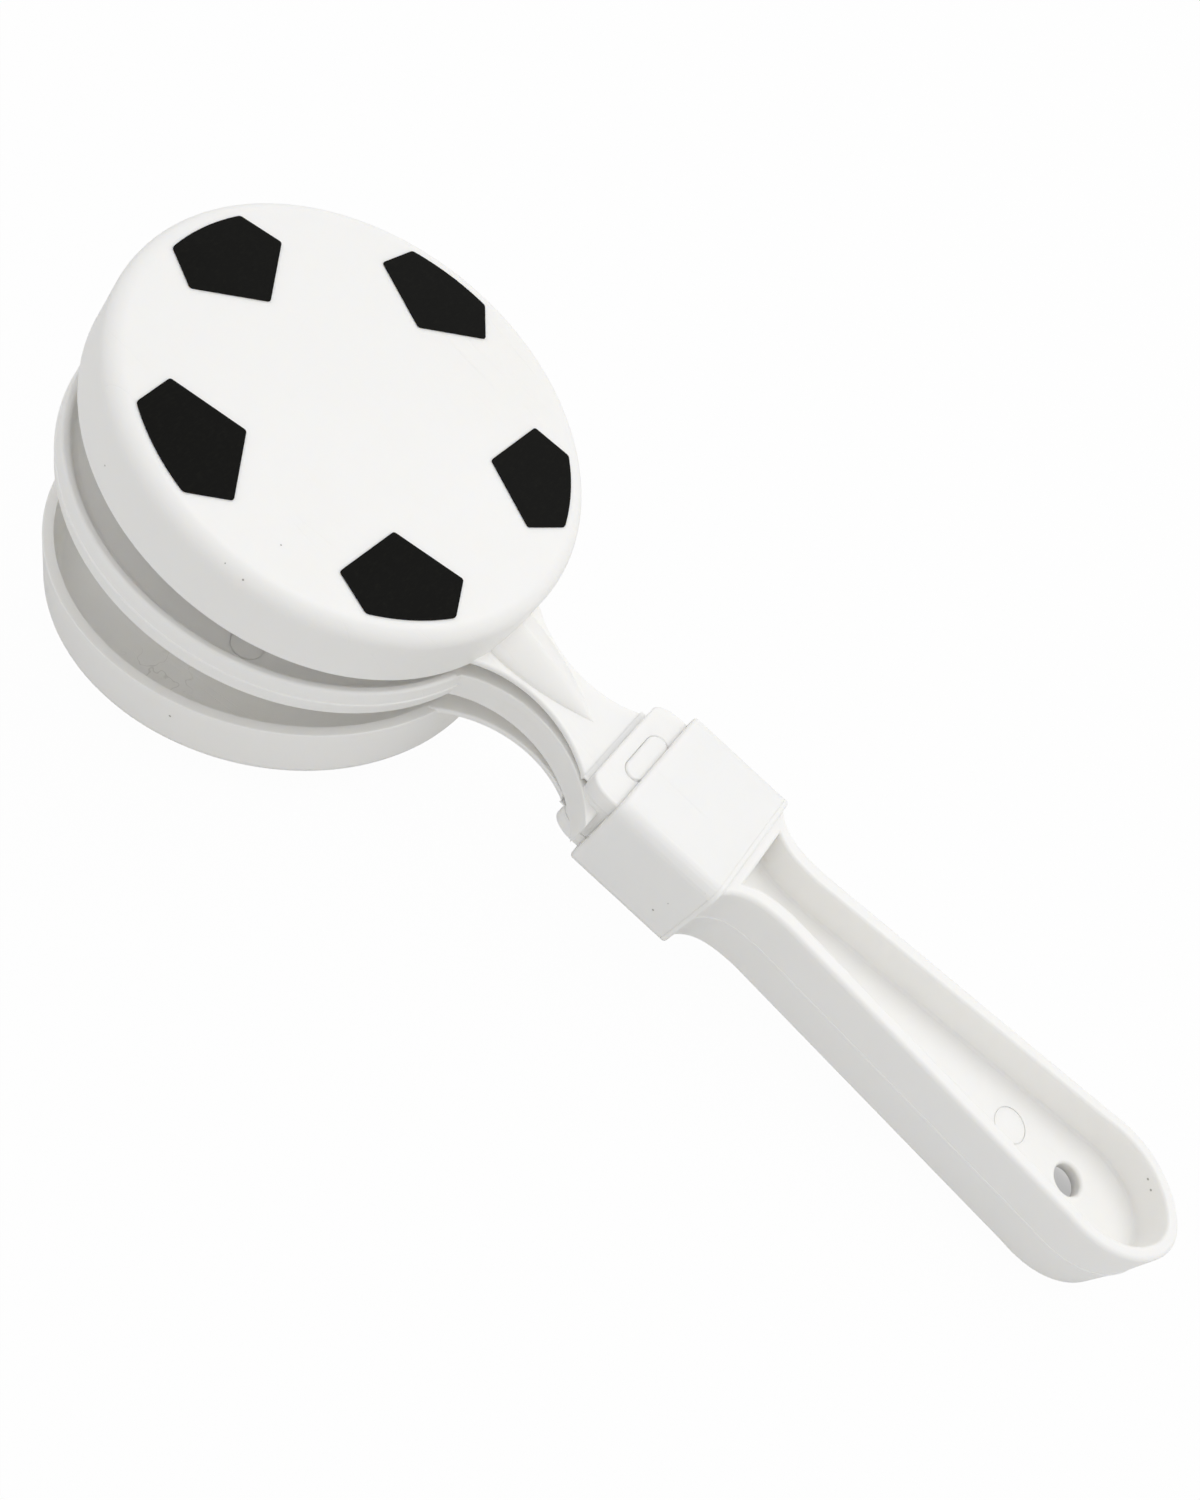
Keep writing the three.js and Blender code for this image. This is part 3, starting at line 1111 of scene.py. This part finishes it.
    def pegs(self) -> Clay:
        """Makes the peg that stands out of the block on both sides, to hold the tabs."""
        plan = oblong(self.layout.peg_x, self.layout.peg_half_length, self.layout.peg_half_width)
        return Clay.plate(plan, self.peg_top, self.peg_round, 4)

    def channel(self) -> Clay:
        """Makes the cutter for one channel: its lip flares out, its walls lean in and its floor is coved.

        Returns:
            The cutter, on the lower side.
        """
        start = self.half_thickness + self.channel_overshoot
        straight = start - self.channel_floor - self.lip_round - self.floor_round
        plan = offset(mirrored(self.channel_half()), self.lip_round)
        steps = [*quarter_out(self.lip_round, 4), (self.draft, straight), *quarter_in(self.floor_round, 5)]
        return Clay.slab(plan, -self.half_thickness - 2, -start).step_cap(True, steps)

    def grip(self) -> Clay:
        """Makes the handle: two halves that lean in from a raised parting line, hollowed by the channels.

        Returns:
            The handle.
        """
        solid = Clay.slab(mirrored(self.handle_half()), -self.bead, self.bead)
        straight = self.half_thickness - self.bead - self.bead_rise - self.edge_round
        parting = (self.bead_rise, self.bead_rise)
        steps = [parting, (self.side_lean, straight), *quarter_in(self.edge_round, 6)]
        solid.step_cap(True, steps).step_cap(False, steps)
        for turn in (0, math.pi):
            solid.cut(self.channel().turned(Matrix.Rotation(turn, 4, "X")))
        return solid

    def hole_cutter(self) -> Clay:
        """Makes the cutter for the hanging hole, with a rounded lip on one side.

        Returns:
            The cutter.
        """
        radius = self.hole_radius + self.hole_lip
        cutter = Clay.cylinder(radius, self.channel_floor + HAIR, 5, (self.hole_x, 0), 64)
        return cutter.step_cap(False, [*quarter_out(self.hole_lip, 5), (0, 3)])

    def mark_cutter(self, radius: float, floor: float, centre: Point) -> Clay:
        """Makes the cutter for an ejector pin's mark: a fine ring groove round a barely sunk circle.

        Args:
            radius: the mark's radius.
            floor: the height of the face that it is in.
            centre: its middle in plan.

        Returns:
            The cutter.
        """
        outer, inner = radius + self.mark_groove, radius - self.mark_groove
        cutter = Clay.cylinder(outer, floor - self.mark_groove_depth, floor + 3, centre, 64)
        return cutter.cut(Clay.cylinder(inner, floor - 1, floor - self.mark_depth, centre, 64))

    def build(self) -> Clay:
        """Makes the whole moulding.

        Returns:
            The moulding, in millimetres.
        """
        solid = self.disc()
        inner = self.ring_radius - self.ring_band - self.ring_slope
        root = self.layout.neck_half(inner, self.layout.hinge_x, self.neck_notch_extra)[0][1]
        for low, high in ((self.neck_half_height, self.notch_top), (-self.notch_top, -self.neck_half_height)):
            solid.cut(Clay.slab(rectangle(*self.notch, root), low, high))
        for piece in (self.neck(inner), self.block(), self.grip(), self.pegs()):
            solid.join(piece)
        for turn in (0, math.pi):
            solid.cut(self.hole_cutter().turned(Matrix.Rotation(turn, 4, "X")))
        solid.cut(self.mark_cutter(self.mark_radius, self.channel_floor, (self.mark_x, 0)))
        return solid.cut(self.mark_cutter(self.web_mark_radius, self.web, self.web_mark))

    def dress(self) -> None:
        """Builds the moulding, finishes it and fixes it in place."""
        finish = MouldedPlastic(
            specks=((199.6, 8.1, 7.5, 0.3), (201.2, 7.0, 7.1, 0.3), (103.9, 7.4, 8.6, 0.5)),
            # The last of these darkens the channel floor with blotchy smears near the foot of its end wall.
            scuffs=((108.4, -3.0, 1.6, 5.0), (107.4, 5.5, 2.4, 3.0), (200.0, -6.0, 2.0, 3.5)),
        )
        place = self.layout.whole()
        piece = self.build().fired("middle_moulding", place, finish.material("middle_plastic", place))
        settle(piece, Body.HANDLE, "paddle_handle")


@dataclass
class Collar:
    """The sleeve that holds the tabs on the block."""

    layout: Layout
    front: float = 79.9
    length: float = 23.6
    half_width: float = 15.05
    half_height: float = 10.93
    wall: float = 1.2
    corner: float = 3.1
    front_round: float = 0.7
    rear_round: float = 0.5
    mouth_wall: float = 1.85
    mouth_drop: float = 0.53
    mouth_length: float = 1.6
    groove_from_rear: float = 1.15
    groove_depth: float = 0.14
    groove_half_width: float = 0.12

    def plan(self, shrink: float, drop: float = 0) -> Outline:
        """The sleeve's section, with X across and Y up.

        Args:
            shrink: how far it is taken in all round.
            drop: how much further it is taken in at top and bottom.

        Returns:
            The outline's points.
        """
        radius = self.corner - shrink
        across, up = self.half_width - shrink - radius, self.half_height - shrink - drop - radius
        points: Outline = []
        for quarter, (x, y) in enumerate(((1, 1), (-1, 1), (-1, -1), (1, -1))):
            start = quarter * math.pi / 2
            points += arc((x * across, y * up), radius, start, start + math.pi / 2, 7)
        return points

    def build(self) -> Clay:
        """Makes the sleeve.

        Returns:
            The sleeve, in millimetres.
        """
        solid = Clay.slab(self.plan(0), 0, self.length)
        solid.round_level(0, self.front_round, 5).round_level(self.length, self.rear_round, 4)
        middle, half = self.length - self.groove_from_rear, self.groove_half_width
        groove = Clay.slab(self.plan(-1), middle - half, middle + half)
        solid.cut(groove.cut(Clay.slab(self.plan(self.groove_depth), 0, self.length)))
        solid.cut(Clay.slab(self.plan(self.wall), self.mouth_length, self.length + 1))
        solid.cut(Clay.slab(self.plan(self.mouth_wall, self.mouth_drop), -1, self.mouth_length + 1))
        lie = Matrix(((0, 0, 1, 0), (1, 0, 0, 0), (0, 1, 0, 0), (0, 0, 0, 1)))
        return solid.turned(Matrix.Translation((self.front, 0, 0)) @ lie)

    def dress(self) -> None:
        """Builds the sleeve, finishes it and fixes it in place."""
        place = self.layout.whole()
        finish = MouldedPlastic(
            specks=((97.5, -15.05, -4.0, 0.28), (101.2, -14.9, 9.2, 0.2), (99.8, -14.6, 9.8, 0.16)),
        )
        piece = self.build().fired("collar_sleeve", place, finish.material("collar_plastic", place))
        settle(piece, Body.HANDLE, "collar")


@dataclass
class Clapper:
    """One clapper: its slotted tab, its film hinge, its shell with neck and rib, and its pentagons.

    pentagon_flank and pentagon_outer are a radius and a turn to either side, in radians.
    """

    layout: Layout
    side: Side
    radius: float = 45.0
    draft: float = 0.7
    rim_height: float = 3.9
    rim_round: float = 0.3
    depth: float = 13.6
    edge_round: float = 3.2
    wall: float = 2.0
    neck_start: float = 38.0
    neck_bottom: float = 3.6
    neck_top: float = 4.95
    neck_bottom_round: float = 0.4
    neck_top_round: float = 0.45
    neck_root_half_width: float = 11.66
    neck_bore_overlap: float = 0.4
    hinge_gap: float = 0.175
    hinge_bevel: float = 0.5
    rib_overlap: float = 1.0
    rib_length: float = 22.4
    rib_half_width: float = 6.4
    rib_height: float = 4.1
    rib_tip: float = 0.12
    rib_taper: float = 1.75
    rib_flattening: float = 0.45
    rib_flat_from: float = 0.7
    tab_front: float = 73.0
    tab_end: float = 99.85
    tab_bottom: float = 4.65
    tab_top: float = 8.25
    tab_half_width: float = 13.0
    tab_round: float = 0.45
    slot_clearance: float = 0.03
    slot_lip: float = 0.32
    film: float = 0.4
    film_half_width: float = 10.5
    film_in_neck: float = 0.7
    film_bend: float = 0.5
    film_in_tab: float = 0.6
    pentagon_turn: float = math.radians(1.4)
    pentagon_inner: float = 24.1
    pentagon_flank: Point = (34.3, 0.339)
    pentagon_outer: Point = (40.6, 0.204)
    pentagon_round: float = 0.45
    sticker_proud: float = 0.25
    sticker_thickness: float = 0.2
    specks: tuple[Spot, ...] = ()
    scuffs: tuple[Spot, ...] = ()

    @property
    def body(self) -> Body:
        """The swinging body of this side."""
        return Body.TOP if self.side is Side.TOP else Body.BOTTOM

    def dome(self, grown: float) -> Clay:
        """Makes the outer surface of the shell as a solid.

        Args:
            grown: how far it stands outside the shell.

        Returns:
            The dome.
        """
        radius, top = self.radius + grown, self.rim_height + self.depth + grown
        solid = Clay.cylinder(radius, self.rim_height, top)
        with solid.edited() as mesh:
            solid.pick(mesh, Element.FACES, lambda middle, normal: normal.z > 0.9)
            scale = (radius - self.draft) / radius
            bpy.ops.transform.resize(value=(scale, scale, 1))
        return solid.round_level(top, self.edge_round + grown, 12)

    def cup(self, grown: float, wall: float) -> Clay:
        """Makes the dome hollow.

        Args:
            grown: how far it stands outside the shell.
            wall: how thick it is.

        Returns:
            The cup, open below.
        """
        solid = self.dome(grown)
        with solid.edited() as mesh:
            solid.pick(mesh, Element.FACES, lambda middle, normal: normal.z < -0.9)
            bpy.ops.mesh.delete(type="FACE")
        return solid.modified("SOLIDIFY", thickness=wall, offset=-1, use_even_offset=True)

    def rib(self) -> Clay:
        """Makes the teardrop rib: a round bar that narrows to a point, flattened and cut off at the neck.

        Returns:
            The rib.
        """
        root, wide, steps = self.radius - self.rib_overlap, self.rib_half_width, 18
        clear_bench()
        bpy.ops.mesh.primitive_cylinder_add(vertices=48, radius=wide, depth=0.4, rotation=(0, math.pi / 2, 0))
        bpy.ops.object.transform_apply(location=True, rotation=True, scale=True)
        solid = Clay(bpy.context.object)
        with solid.edited() as mesh:
            solid.pick(mesh, Element.FACES, lambda middle, normal: normal.x > 0.9)
            width = wide
            for step in range(1, steps + 1):
                wanted = max(wide * (1 - (step / steps) ** self.rib_taper), self.rib_tip)
                ahead = (self.rib_length / steps, 0, 0)
                bpy.ops.mesh.extrude_region_move(TRANSFORM_OT_translate={"value": ahead})
                bpy.ops.transform.resize(value=(1, wanted / width, wanted / width))
                width = wanted
        for vertex in solid.thing.data.vertices:
            vertex.co.z *= 1 - self.rib_flattening * min(abs(vertex.co.y) / wide, self.rib_flat_from)
        squash = Matrix.Diagonal((1, 1, self.rib_height / wide, 1))
        solid.turned(Matrix.Translation((root, 0, self.neck_top - HAIR)) @ squash)
        return solid.cross(Clay.slab(rectangle(root - 1, 80, 9), self.neck_bottom + 1, 20))

    def neck(self) -> Clay:
        """Makes the neck with its rib, its end bevelled below to clear the block as the shell closes.

        Returns:
            The neck.
        """
        end = self.layout.hinge_x - self.hinge_gap
        half = self.layout.neck_half(self.neck_start, end, 0)
        plan = mirrored([(x, min(y, self.neck_root_half_width)) for x, y in half])
        solid = Clay.slab(plan, self.neck_bottom, self.neck_top)
        lowest = self.neck_bottom + NEAR
        with solid.edited() as mesh:
            solid.pick(
                mesh, Element.EDGES, lambda a, b: min(a.x, b.x) > end - NEAR and max(a.z, b.z) < lowest
            )
            bpy.ops.transform.translate(value=(-self.hinge_bevel, 0, 0))

        def along(level: float) -> PairTest:
            """Picks the neck's long edges at one height."""
            clear = end - self.hinge_bevel - 0.1
            return lambda a, b: all(abs(v.z - level) < NEAR for v in (a, b)) and min(a.x, b.x) < clear

        solid.round_edges(along(self.neck_top), self.neck_top_round, 4)
        solid.round_edges(along(self.neck_bottom), self.neck_bottom_round, 3)
        return solid.join(self.rib())

    def shell(self) -> Clay:
        """Makes the shell with its neck and rib.

        Returns:
            The shell, closed and in millimetres.
        """
        solid = self.cup(0, self.wall).round_level(self.rim_height, self.rim_round, 3)
        inside = self.radius - self.wall + self.neck_bore_overlap
        return solid.join(self.neck().cut(Clay.cylinder(inside, -5, 25)))

    def tab(self) -> Clay:
        """Makes the tab, with the peg's slot and a fine lip round it.

        Returns:
            The tab.
        """
        half = self.layout.tab_half(self.tab_front, self.tab_end, self.tab_half_width)
        solid = Clay.slab(mirrored(half), self.tab_bottom, self.tab_top)
        solid.round_level(self.tab_top, self.tab_round, 4)
        length = self.layout.peg_half_length + self.slot_clearance
        width = self.layout.peg_half_width + self.slot_clearance
        slot = offset(oblong(self.layout.peg_x, length, width), self.slot_lip)
        cutter = Clay.slab(slot, self.tab_top + HAIR, self.tab_top + 1)
        return solid.cut(cutter.step_cap(False, [*quarter_out(self.slot_lip, 4), (0, 5)]))

    def film_strip(self) -> Clay:
        """Makes the thin strip of the same plastic that bends between the tab and the neck.

        Returns:
            The strip, with enough rows across it to bend.
        """
        start, steps = self.layout.hinge_x - self.film_in_neck, 14
        length, bottom = self.tab_front + self.film_in_tab - start, self.tab_bottom + HAIR
        upper = [(start + length * step / steps, self.film_half_width) for step in range(steps + 1)]
        return Clay.slab(mirrored(upper), bottom, bottom + self.film)

    def pentagon(self, skin: Clay, number: int) -> Clay:
        """Cuts one pentagon from the skin, with a straight inner corner and an outer side along the edge.

        Args:
            skin: the layer that it is cut from, which is used up.
            number: which of the five it is, from 0.

        Returns:
            The pentagon.
        """
        middle = math.pi - self.pentagon_turn - number * 2 * math.pi / 5
        (flank, flank_turn), (outer, outer_turn) = self.pentagon_flank, self.pentagon_outer
        inner, left, right = (
            (radius * math.cos(middle + turn), radius * math.sin(middle + turn))
            for radius, turn in ((self.pentagon_inner, 0), (flank, -flank_turn), (flank, flank_turn))
        )
        rim = arc((0, 0), outer, middle - outer_turn, middle + outer_turn, 12)
        corners = [Vector(point) for point in (inner, left, rim[0], rim[-1], right)]

        def at_corner(a: Vector, b: Vector) -> bool:
            """Picks the upright edges at the five corners."""
            return (a.xy - b.xy).length < NEAR and any((a.xy - corner).length < NEAR for corner in corners)

        die = Clay.slab([inner, left, *rim, right], self.rim_height + 3, 30)
        return skin.cross(die.round_edges(at_corner, self.pentagon_round, 4))

    def dress_film(self, material: bpy.types.Material) -> None:
        """Builds the film strip and puts it across the hinge.

        Args:
            material: its finish.
        """
        fixed = self.layout.side(self.side)
        film = self.film_strip().fired(f"{self.side.value}_film_hinge", fixed, material)
        level = self.tab_bottom + self.film / 2
        middle = fixed @ Vector((self.layout.hinge_x, 0, level))
        reach = (fixed @ Vector((self.layout.hinge_x + self.film_bend, 0, level))) - middle
        middle + reach
        middle - reach
        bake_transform(film)
        log.info("%s: bends between %s and %s", film.name, Body.HANDLE.value, self.body.value)

    def dress(self) -> None:
        """Builds the clapper's pieces, finishes them and fixes them in place."""
        fixed, swung, name = self.layout.side(self.side), self.layout.swung(self.side), self.side.value
        marked = MouldedPlastic(specks=self.specks, scuffs=self.scuffs)
        tab = self.tab().fired(f"{name}_tab", fixed, MouldedPlastic().material(f"{name}_tab_plastic", fixed))
        settle(tab, Body.HANDLE, f"{name}_hinge_tab")
        self.dress_film(marked.material(f"{name}_film_plastic", fixed))
        shell = self.shell().fired(f"{name}_cup", swung, marked.material(f"{name}_shell_plastic", swung))
        settle(shell, self.body, f"{name}_shell")
        black = MattBlackFilm().material(f"{name}_sticker_film", swung)
        skin = self.cup(self.sticker_proud, self.sticker_thickness)
        for number in range(5):
            sticker = self.pentagon(skin.copied(), number).fired(f"{name}_sticker_{number + 1}", swung, black)
            settle(sticker, self.body, f"{name}_pentagon_{number + 1}")
        bpy.data.objects.remove(skin.thing)


@dataclass
class Studio:
    """The pale floor, the soft light and the camera.

    Lengths are in metres, but seen_in_hole, floor_relief, camera_place and lens are in millimetres.
    """

    floor_size: float = 6.0
    floor_height: float = -0.0002
    floor_colour: tuple[float, ...] = rgb(226, 226, 225)
    floor_roughness: float = 0.9
    floor_grain: float = 0.004
    floor_relief: float = 0.1
    floor_white: float = 0.97
    # Painted shade: where the floor is seen through the hanging hole, its white is weaker, so the shade under
    # the handle's end shows there.
    floor_white_in_painted_shade: float = 0.4
    seen_in_hole: Place = (195.7, 10.5, -11.0)
    painted_shade_edge: Point = (0.006, 0.012)
    air: float = 0.73
    lamp_place: Place = (0.25, 0.45, 1.0)
    lamp_size: float = 0.8
    lamp_power: float = 3.2
    camera_place: Place = (11.16, -181.63, 237.25)
    camera_turn: Place = (35.992, -21.01, 33.023)
    lens: float = 36.385
    sensor_width: float = 36
    clip: Point = (0.01, 20)

    def floor(self) -> None:
        """Adds the floor, which the camera sees white with a soft shadow, with a painted shade patch, less
        white and so grey, where it is seen through the hanging hole.
        """
        clear_bench()
        bpy.ops.mesh.primitive_plane_add(size=self.floor_size, location=(0, 0, self.floor_height))
        bpy.ops.object.transform_apply(location=True, rotation=True, scale=True)
        plane = bpy.context.object
        plane.name = "studio_floor"
        graph = Graph("floor_paper", Matrix())
        graph.set({"Base Color": self.floor_colour, "Roughness": self.floor_roughness})
        graph.bump(graph.noise(self.floor_grain, 2), self.floor_relief)
        white = graph.add("ShaderNodeEmission", {}, {"Color": (1, 1, 1, 1), "Strength": 1.0})
        path = graph.add("ShaderNodeLightPath", {}, {})
        # Painted shade: the floor is less white in a patch round the place seen through the hanging hole.
        outside_painted_shade = graph.distance_to(Layout().whole() @ Vector(self.seen_in_hole)).step(*self.painted_shade_edge)
        rise = self.floor_white - self.floor_white_in_painted_shade
        share = Field(graph, path.outputs["Is Camera Ray"]) * (outside_painted_shade * rise + self.floor_white_in_painted_shade)
        paper = graph.shader.outputs[0]
        mixed = graph.add("ShaderNodeMixShader", {}, {0: share, 1: paper, 2: white.outputs[0]})
        graph.feed(graph.tree.nodes["Material Output"].inputs["Surface"], mixed.outputs[0])
        plane.data.materials.append(graph.material)

    def world(self) -> None:
        """Sets the even light from all round, white where the camera or a reflection sees it."""
        world = bpy.data.worlds.new("studio_air")
        bpy.context.scene.world = world
        world.use_nodes = True
        nodes = Nodes(world.node_tree)
        path = nodes.add("ShaderNodeLightPath", {}, {})
        seen = Field(nodes, path.outputs["Is Camera Ray"]) + Field(nodes, path.outputs["Is Glossy Ray"])
        back = world.node_tree.nodes["Background"]
        nodes.feed(back.inputs["Color"], (1, 1, 1, 1))
        nodes.feed(back.inputs["Strength"], seen * (1 - self.air) + self.air)

    def lamp(self) -> None:
        """Adds a soft square lamp that faces the middle of the clapper."""
        light = bpy.data.lights.new("overhead_softbox", "AREA")
        light.size, light.energy = self.lamp_size, self.lamp_power
        lamp = bpy.data.objects.new(light.name, light)
        bpy.context.scene.collection.objects.link(lamp)
        lamp.location = self.lamp_place
        lamp.rotation_euler = (-Vector(self.lamp_place)).to_track_quat("-Z", "Y").to_euler()

    def camera(self) -> None:
        """Adds the camera at the photograph's viewing angle."""
        seen = bpy.data.cameras.new("photo_camera")
        seen.lens, seen.sensor_width, seen.sensor_fit = self.lens, self.sensor_width, "AUTO"
        seen.clip_start, seen.clip_end = self.clip
        camera = bpy.data.objects.new(seen.name, seen)
        bpy.context.scene.collection.objects.link(camera)
        camera.location = Vector(self.camera_place) * MM
        camera.rotation_euler = [math.radians(angle) for angle in self.camera_turn]
        bpy.context.scene.camera = camera

    def build(self) -> None:
        """Sets up the floor, the light and the camera."""
        bpy.context.scene.view_settings.view_transform = "Standard"
        for step in (self.floor, self.world, self.lamp, self.camera):
            step()
        log.info("studio ready")


def main() -> None:
    """Builds the clapper's sub-assemblies in order, and then the studio."""
    logging.basicConfig(level=logging.INFO, format="%(name)s: %(message)s")
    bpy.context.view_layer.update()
    layout = Layout()
    Moulding(layout).dress()
    Collar(layout).dress()
    upper_specks = (
        (-17.9, -41.0, 8.5, 0.2),
        (6.9, -43.0, 16.5, 0.16),
        (10.5, -42.5, 16.2, 0.22),
        (9.9, -33.5, 17.5, 0.18),
    )
    Clapper(layout, Side.TOP, specks=upper_specks).dress()
    Clapper(layout, Side.BOTTOM, specks=((9.7, 43.7, 8.3, 0.3),), scuffs=((-1.7, 34.0, 15.5, 9.0),)).dress()
    Studio().build()


if __name__ == "__main__":
    main()
